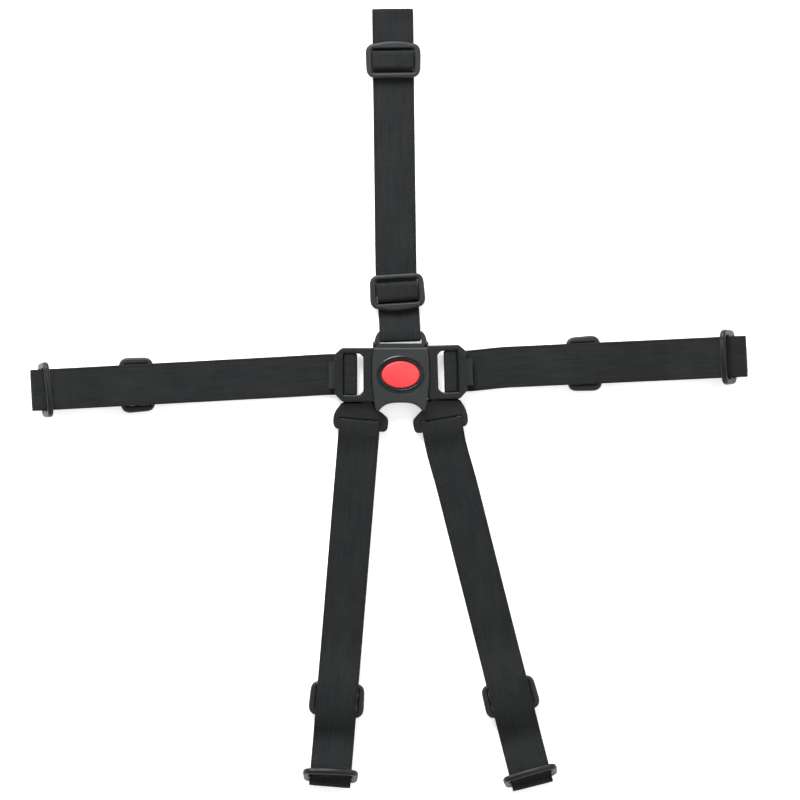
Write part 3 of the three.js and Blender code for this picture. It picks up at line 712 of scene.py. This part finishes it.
# Distances from a strap's pivot, or from a slider's middle, where its webbing bends and is cut.
WAIST_BEND, SHOULDER_BEND, CROTCH_BEND = (8, 20), (2, 14), (3, 13)
PAST_BEND, PAST_CROTCH_BEND = 20.5, 14
SEWN_CUT, PAST_ADJUSTER, BEFORE_END = 5.4, 10, 4
BELOW_SLIDER, ABOVE_SLIDER, PAST_UPPER = 8, 9, 10
CROTCH_MIDDLE = 97  # where the two crotch sliders' stretches of webbing meet
FOLD_BEND = (11, 24)


def sewn_end(c, side):
    return [
        (c + side * SEWN_HALF, SEWN_BOTTOM - 0.45),
        (c + side * SEWN_HALF, SEWN_TOP),
        (c - side * SEWN_HALF, SEWN_TOP),
        (c - side * SEWN_HALF, SEWN_BOTTOM),
        (c - side * 0.4, SEWN_BOTTOM),
        (c + side * SEWN_REACH, LOW),
    ]


def threaded(c, side):
    return [
        (c - side * THREADED_REACH, LOW),
        (c - side * THREADED_HALF, OVER_SEWN),
        (c + side * THREADED_HALF, OVER_SEWN),
        (c + side * THREADED_REACH, HIGH),
    ]


def wrap_route(name):
    if name.startswith("waist"):
        reach, top = TONGUE_BAR_HALF + WRAP, TONGUE_BAR_TOP + WRAP
        return [(-reach, LOW), (-reach, top), (reach, top), (reach, HIGH)]
    if name == "crotch":
        reach, top = LOOP_BAR_HALF + WRAP, LOOP_TOP + WRAP
        return [(-reach, LOW), (-reach, top), (2.6, top, 3), (12, HIGH)]
    reach, top = CLIP_BAR_UP + WRAP, CLIP_TOP + WRAP
    return [(-reach, LOW), (-reach, top), (CLIP_BAR_DOWN + 0.4, top, 3), (14, HIGH, EASY)]


def adjustable_route(strap):
    c, e = strap.slider, strap.end
    over, loop_half = OVER_SEWN + LAYER, 3.3
    dip, reach = (HIGH, 34) if e - c > 60 else (5.5, 0.45 * (e - c))
    far = e + strap.fold - THICKNESS / 2
    return [
        *sewn_end(c, -1),
        *wrap_route(strap.name),
        (c - 34, HIGH, EASY), (c - 8, over, EASY), (c + 8, over, EASY),
        (c + reach, dip, EASY), (e - reach, dip, EASY),
        (e - 4, STANDING + loop_half, EASY), (far, STANDING + loop_half, 3),
        (far, STANDING - loop_half, 3), (e - 3, STANDING - loop_half, EASY),
        (e - 28, LOW, EASY),
        *threaded(c, -1),
        (c - 18, HIGH),
    ]


def crotch_route(strap):
    c, e = strap.slider, strap.end
    far = e + strap.fold - THICKNESS / 2
    return [
        *sewn_end(c, -1), *wrap_route(strap.name), *threaded(c, -1)[::-1], *threaded(e, 1),
        (far - 8, HIGH, 3), (far, HIGH + 1.2), (far, LOW), *sewn_end(e, 1)[::-1],
    ]


def middle_line(route, step=2.4):
    """The route with its corners rounded, as evenly dense (distance, height) points."""
    points = [Vector(p[:2]) for p in route]
    line = [points[0]]
    for i in range(1, len(points) - 1):
        before, corner, after = points[i - 1:i + 2]
        wanted = route[i][2] if len(route[i]) > 2 else TIGHT
        cut = min(wanted, 0.48 * min((corner - before).length, (corner - after).length))
        a = corner + (before - corner).normalized() * cut
        b = corner + (after - corner).normalized() * cut
        line += [a] + [Vector(p) for p in bezier(a, corner, b, steps=8)]
    line.append(points[-1])
    dense = [line[0]]
    for a, b in zip(line, line[1:]):
        count = max(1, math.ceil((b - a).length / step))
        dense += [a.lerp(b, k / count) for k in range(1, count + 1)]
    return [p for i, p in enumerate(dense) if i == 0 or (p - dense[i - 1]).length > 0.02]


def webbing_section():
    """Half of the webbing's section: (across, height) from edge to edge, with a selvedge cord."""
    half, t = WIDTH / 2, THICKNESS / 2
    edge = [(half, 0.0), (half - 0.06, 0.3 * t), (half - 0.22, 0.62 * t), (half - 0.5, 0.86 * t),
            (half - 0.95, 0.96 * t), (half - 1.5, 0.9 * t), (half - 1.85, 0.74 * t),
            (half - 2.2, 0.9 * t), (half - 2.9, t), (half - 6, t), (half - 9.4, t)]
    return [(-x, z) for x, z in edge] + [(0, t)] + edge[::-1]


SECTION = webbing_section()
SECTION += [(x, -z) for x, z in SECTION[-2:0:-1]]


def ribbon(name, strap, line, arc_start):
    """Webbing along a stretch of a strap's middle line. Returns the mesh and its length in metres."""
    rings, travelled = [], [arc_start]
    bm = bmesh.new()
    weave = bm.loops.layers.uv.new("weave")
    for i, p in enumerate(line):
        if i:
            travelled.append(travelled[-1] + (p - line[i - 1]).length)
        here = (line[min(i + 1, len(line) - 1)] - line[max(i - 1, 0)]).normalized()
        out = Vector((-here.y, here.x))
        slack = 0.12 * math.sin(travelled[-1] / 17.0 + len(strap.name)) * math.sin(travelled[-1] / 6.1)
        ring = []
        for x, offset in SECTION:
            narrow = 1 - 0.002 * (1 + math.sin(travelled[-1] / 23.0))
            lift = offset + 0.5 * slack * (x / (WIDTH / 2)) ** 2
            at = p + out * lift
            point, along = strap.at(at.x)
            side = x * narrow
            place = Vector((point.x + along.y * side, point.y - along.x * side, at.y))
            ring.append(bm.verts.new(place * MM))
        rings.append(ring)
    count = len(SECTION)
    for i in range(1, len(rings)):
        for k in range(count):
            j = (k + 1) % count
            face = bm.faces.new((rings[i - 1][k], rings[i - 1][j], rings[i][j], rings[i][k]))
            corners = ((k, i - 1), (j, i - 1), (j, i), (k, i))
            for loop, (across, row) in zip(face.loops, corners):
                loop[weave].uv = (SECTION[across][0] / WIDTH + 0.5, travelled[row] * MM)
    for ring, row in ((rings[0], 0), (rings[-1], len(rings) - 1)):
        cap = bm.faces.new(ring)
        for k, loop in enumerate(cap.loops):
            loop[weave].uv = (SECTION[k][0] / WIDTH + 0.5, travelled[row] * MM + SECTION[k][1] * MM)
    bmesh.ops.recalc_face_normals(bm, faces=bm.faces)
    mesh = bpy.data.meshes.new(name)
    bm.to_mesh(mesh)
    bm.free()
    return mesh, (travelled[-1] - arc_start) * MM


def joined(meshes):
    bm = bmesh.new()
    for mesh in meshes:
        bm.from_mesh(mesh)
    result = bpy.data.meshes.new("webbing")
    bm.to_mesh(result)
    bm.free()
    return result


def strap_piece(strap, part, runs, line, arcs, ride=None, blend=None):
    """One webbing piece made of runs, each a (first, last) pair of indices into the middle line."""
    meshes, length = [], 0
    for first, last in runs:
        mesh, run_length = ribbon(part, strap, line[first:last + 1], arcs[first])
        meshes.append(mesh)
        length += run_length
    made = piece(f"webbing_{strap.name}_{part}", joined(meshes), WEBBING, ride,
                 ["webbing_" + strap.name])
    if blend:
        a, b, start, end = blend
        strap.marker(start)
        strap.marker(end)
        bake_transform(made)


def cut_points(line, cuts):
    """The line with a point exactly at each cut, and those points' indices.

    A cut is (distance, height); points are searched in the order given."""
    line, found, start = list(line), [], 0
    for distance, height in cuts:
        best = None
        for i in range(start + 1, len(line)):
            a, b = line[i - 1], line[i]
            low, high = sorted((a.x, b.x))
            if low <= distance <= high and high - low > 1e-6:
                point = a.lerp(b, (distance - a.x) / (b.x - a.x))
                if best is None or abs(point.y - height) < abs(best[1].y - height):
                    best = (i, point)
        i, point = best
        if (line[i] - point).length < 0.3:
            line[i] = point
        elif (line[i - 1] - point).length < 0.3:
            i -= 1
            line[i] = point
        else:
            line.insert(i, point)
        found.append(i)
        start = i
    return line, found


def build_adjustable(strap):
    c, e, holder = strap.slider, strap.end, strap.holder
    adjuster, slider = "adjuster_" + strap.name, "end_slider_" + strap.name
    over, sewn = OVER_SEWN + LAYER, c - SEWN_CUT
    cuts = [(sewn, LOW), (PAST_BEND, LOW), (PAST_BEND, HIGH), (c, over), (c + PAST_ADJUSTER, LOW)]
    line, (rear_in, rear_out, front, top, back) = cut_points(middle_line(adjustable_route(strap)), cuts)
    arcs = arc_lengths(line)
    last = len(line) - 1
    bend = WAIST_BEND if strap.name.startswith("waist") else SHOULDER_BEND
    strap_piece(strap, "loop", [(rear_out, front)], line, arcs,
                blend=(holder, strap.body, *bend))
    strap_piece(strap, "strands", [(rear_in, rear_out), (front, top)], line, arcs,
                blend=(strap.body, adjuster, PAST_BEND, sewn))
    strap_piece(strap, "in_adjuster", [(0, rear_in), (back, last)], line, arcs,
                ride=adjuster)
    strap_piece(strap, "end", [(top, back)], line, arcs,
                blend=(adjuster, strap.body, c + PAST_ADJUSTER, e - BEFORE_END))


def build_crotch(strap):
    c, e = strap.slider, strap.end
    lower, upper = "slider_crotch_lower", "slider_crotch_upper"
    below, above = c - BELOW_SLIDER, c + ABOVE_SLIDER
    cuts = [(below, LOW), (PAST_CROTCH_BEND, LOW), (PAST_CROTCH_BEND, HIGH), (below, HIGH),
            (above, LOW), (CROTCH_MIDDLE, LOW), (e - ABOVE_SLIDER, LOW),
            (e + PAST_UPPER, HIGH), (e + PAST_UPPER, LOW)]
    line, places = cut_points(middle_line(crotch_route(strap)), cuts)
    rear_in, rear_out, front, low_in, low_out, half, up_in, up_out, back = places
    arcs = arc_lengths(line)
    last = len(line) - 1
    strap_piece(strap, "loop", [(rear_out, front)], line, arcs,
                blend=("buckle", strap.body, *CROTCH_BEND))
    strap_piece(strap, "slack", [(rear_in, rear_out), (front, low_in)], line, arcs,
                blend=(strap.body, lower, PAST_CROTCH_BEND, below))
    strap_piece(strap, "in_lower_slider", [(0, rear_in), (low_in, low_out)], line, arcs,
                ride=lower)
    strap_piece(strap, "below_middle", [(low_out, half)], line, arcs,
                blend=(lower, strap.body, above, CROTCH_MIDDLE))
    strap_piece(strap, "above_middle", [(half, up_in)], line, arcs,
                blend=(strap.body, upper, CROTCH_MIDDLE, e - ABOVE_SLIDER))
    strap_piece(strap, "in_upper_slider", [(up_in, up_out), (back, last)], line, arcs,
                ride=upper)
    strap_piece(strap, "fold", [(up_out, back)], line, arcs,
                blend=(upper, strap.body, e + FOLD_BEND[0], e + FOLD_BEND[1]))


def arc_lengths(line):
    total = [0.0]
    for a, b in zip(line, line[1:]):
        total.append(total[-1] + (b - a).length)
    return total


# ---- sliders ----

def slider_mesh():
    """A moulded three-bar slide, arched along one side, about its centre bar."""
    side = SLIDER_WIDTH / 2
    straight = -SLIDER_WINDOW / 2 - STRAIGHT_BAR
    shoulder = SLIDER_WINDOW / 2 + ARCH_ENDS + 0.7
    crown = SLIDER_WINDOW / 2 + ARCH_MIDDLE - 0.7
    corner, bulge, half_thick = 6.1, 0.3, 1.8
    right = [(0, straight), (side - corner, straight)]
    right += bezier((side - corner, straight), (side, straight), (side, straight + corner), steps=9)
    right += [(side + bulge * k / 5, straight + corner + (shoulder - straight - 2 * corner) * k / 5)
              for k in range(1, 6)]
    right += bezier((side + bulge, shoulder - corner), (side + bulge, shoulder),
                    (side - corner, shoulder), steps=9)
    arch = bezier((side - corner, shoulder), (0, 2 * crown - shoulder), (corner - side, shoulder), steps=36)
    left = [(-x, y) for x, y in right[1:-1]][::-1]
    outline = right + arch[:-1] + [(corner - side, shoulder)] + left
    window = rectangle(-SLOT_HALF, SLOT_HALF, -SLIDER_WINDOW / 2 - 0.3, SLIDER_WINDOW / 2 - 0.4)
    rails = plate(outline, -half_thick, half_thick, 1.35, [rounded(window, 0.9, 5)], steps=5)
    low, high = BAR_LOW - SLIDER_MIDDLE, BAR_HIGH - SLIDER_MIDDLE
    section = rounded(rectangle(-CENTRE_BAR / 2, CENTRE_BAR / 2, low, high), 0.9, 5)
    bar = profile_bar(section, -SLOT_HALF - 0.8, SLOT_HALF + 0.8)
    bar.transform(Matrix.Rotation(math.pi / 2, 4, "Z"))
    return combined(rails, ("UNION", bar))


def place_slider(name, node, strap, distance, height, lean=0, skew=0, turned=0, plastic=SLIDER_PLASTIC):
    point, along = strap.at(distance)
    turn = math.atan2(along.y, along.x) - math.pi / 2 + math.radians(skew + turned)
    made = SLIDER.copy()
    made.transform(
        Matrix.Translation((point.x * MM, point.y * MM, height * MM))
        @ Matrix.Rotation(turn, 4, "Z") @ Matrix.Rotation(math.radians(lean), 4, "X")
    )
    piece(name, made, plastic, node, [node])


# ---- build everything ----

build_buckle()
build_button()
build_spring()
build_latch()
BY_NAME = {strap.name: strap for strap in STRAPS}
for word, side in SIDES.items():
    build_tongue("tongue_" + word, side)
    build_clip("shoulder_clip_" + word, side, BY_NAME["shoulder_" + word])

SLIDER = slider_mesh()
for strap in STRAPS:
    if strap.name == "crotch":
        build_crotch(strap)
        place_slider("lower_slider", "slider_crotch_lower", strap, strap.slider, SLIDER_MIDDLE, turned=179)
        place_slider("upper_slider", "slider_crotch_upper", strap, strap.end, SLIDER_MIDDLE)
    else:
        build_adjustable(strap)
        place_slider("adjuster_frame_" + strap.name, "adjuster_" + strap.name, strap,
                     strap.slider, SLIDER_MIDDLE)
        # The end frames take the darker copy of the plastic: painted shade.
        place_slider("end_frame_" + strap.name, "end_slider_" + strap.name, strap, strap.end, STANDING,
                     strap.lean, strap.skew, plastic=SHADE_PAINTED_PLASTIC)


# ---- floor, light and camera ----

def build_floor():
    """A pale floor that curves up into a backdrop all round."""
    s = Shader("studio_floor", (0.93, 0.93, 0.935), 0.85, Specular_IOR_Level=0.1)
    mottle = s.noise(s.place((0.01, 0.01, 0.01)), 1.0, 3)
    s.put(s.mix(mottle, (0.94, 0.94, 0.945), (0.92, 0.92, 0.925)), s.main.inputs["Base Color"])
    s.main.inputs["Emission Color"].default_value = (1, 1, 1, 1)
    s.main.inputs["Emission Strength"].default_value = 0.56
    level, radius, bend, around = -0.15, 3500, 1500, 96
    section = [(0.0, 0.0), (radius, 0.0)]
    section += [(radius + bend * math.sin(a), bend * (1 - math.cos(a)))
                for a in [math.pi / 2 * i / 12 for i in range(1, 13)]]
    section.append((radius + bend, 3500))
    bm = bmesh.new()
    centre = bm.verts.new((0, 0, level * MM))
    rings = [[bm.verts.new((x * r * MM, y * r * MM, (level + z) * MM)) for x, y in ellipse(1, 1, around)]
             for r, z in section[1:]]
    for i in range(around):
        bm.faces.new((centre, rings[0][i - 1], rings[0][i]))
        for inner, outer in zip(rings, rings[1:]):
            bm.faces.new((inner[i - 1], outer[i - 1], outer[i], inner[i]))
    mesh = bpy.data.meshes.new("floor")
    bm.to_mesh(mesh)
    bm.free()
    for polygon in mesh.polygons:
        polygon.use_smooth = True
    floor = bpy.data.objects.new("floor", mesh)
    bpy.context.scene.collection.objects.link(floor)
    mesh.materials.append(s.material)


def area_light(name, energy, size, location, target=(0, 0, 0)):
    data = bpy.data.lights.new(name, "AREA")
    data.energy, data.size = energy, size
    lamp = bpy.data.objects.new(name, data)
    bpy.context.scene.collection.objects.link(lamp)
    lamp.location = location
    lamp.rotation_euler = (Vector(target) - Vector(location)).to_track_quat("-Z", "Y").to_euler()


build_floor()
world = bpy.data.worlds.new("studio")
world.use_nodes = True
background = world.node_tree.nodes["Background"]
background.inputs["Color"].default_value = (1, 1, 1, 1)
background.inputs["Strength"].default_value = 0.14
bpy.context.scene.world = world
area_light("key_softbox", 18, 0.5, (-0.25, 0.78, 0.72))
area_light("side_softbox", 4.5, 0.8, (0.45, 0.12, 1.4))

camera = bpy.data.cameras.new("camera")
FRAME_CENTRE = (-0.0004, -0.0153)
FRAME_WIDTH, DISTANCE, MEAN_HEIGHT = 0.4848, 3.2, 0.006
SENSOR_WIDTH = 36
camera.sensor_width = SENSOR_WIDTH
camera.lens = SENSOR_WIDTH * (DISTANCE - MEAN_HEIGHT) / FRAME_WIDTH
viewer = bpy.data.objects.new("camera", camera)
viewer.location = (*FRAME_CENTRE, DISTANCE)
bpy.context.scene.collection.objects.link(viewer)
bpy.context.scene.camera = viewer
bpy.context.scene.view_settings.view_transform = "Standard"
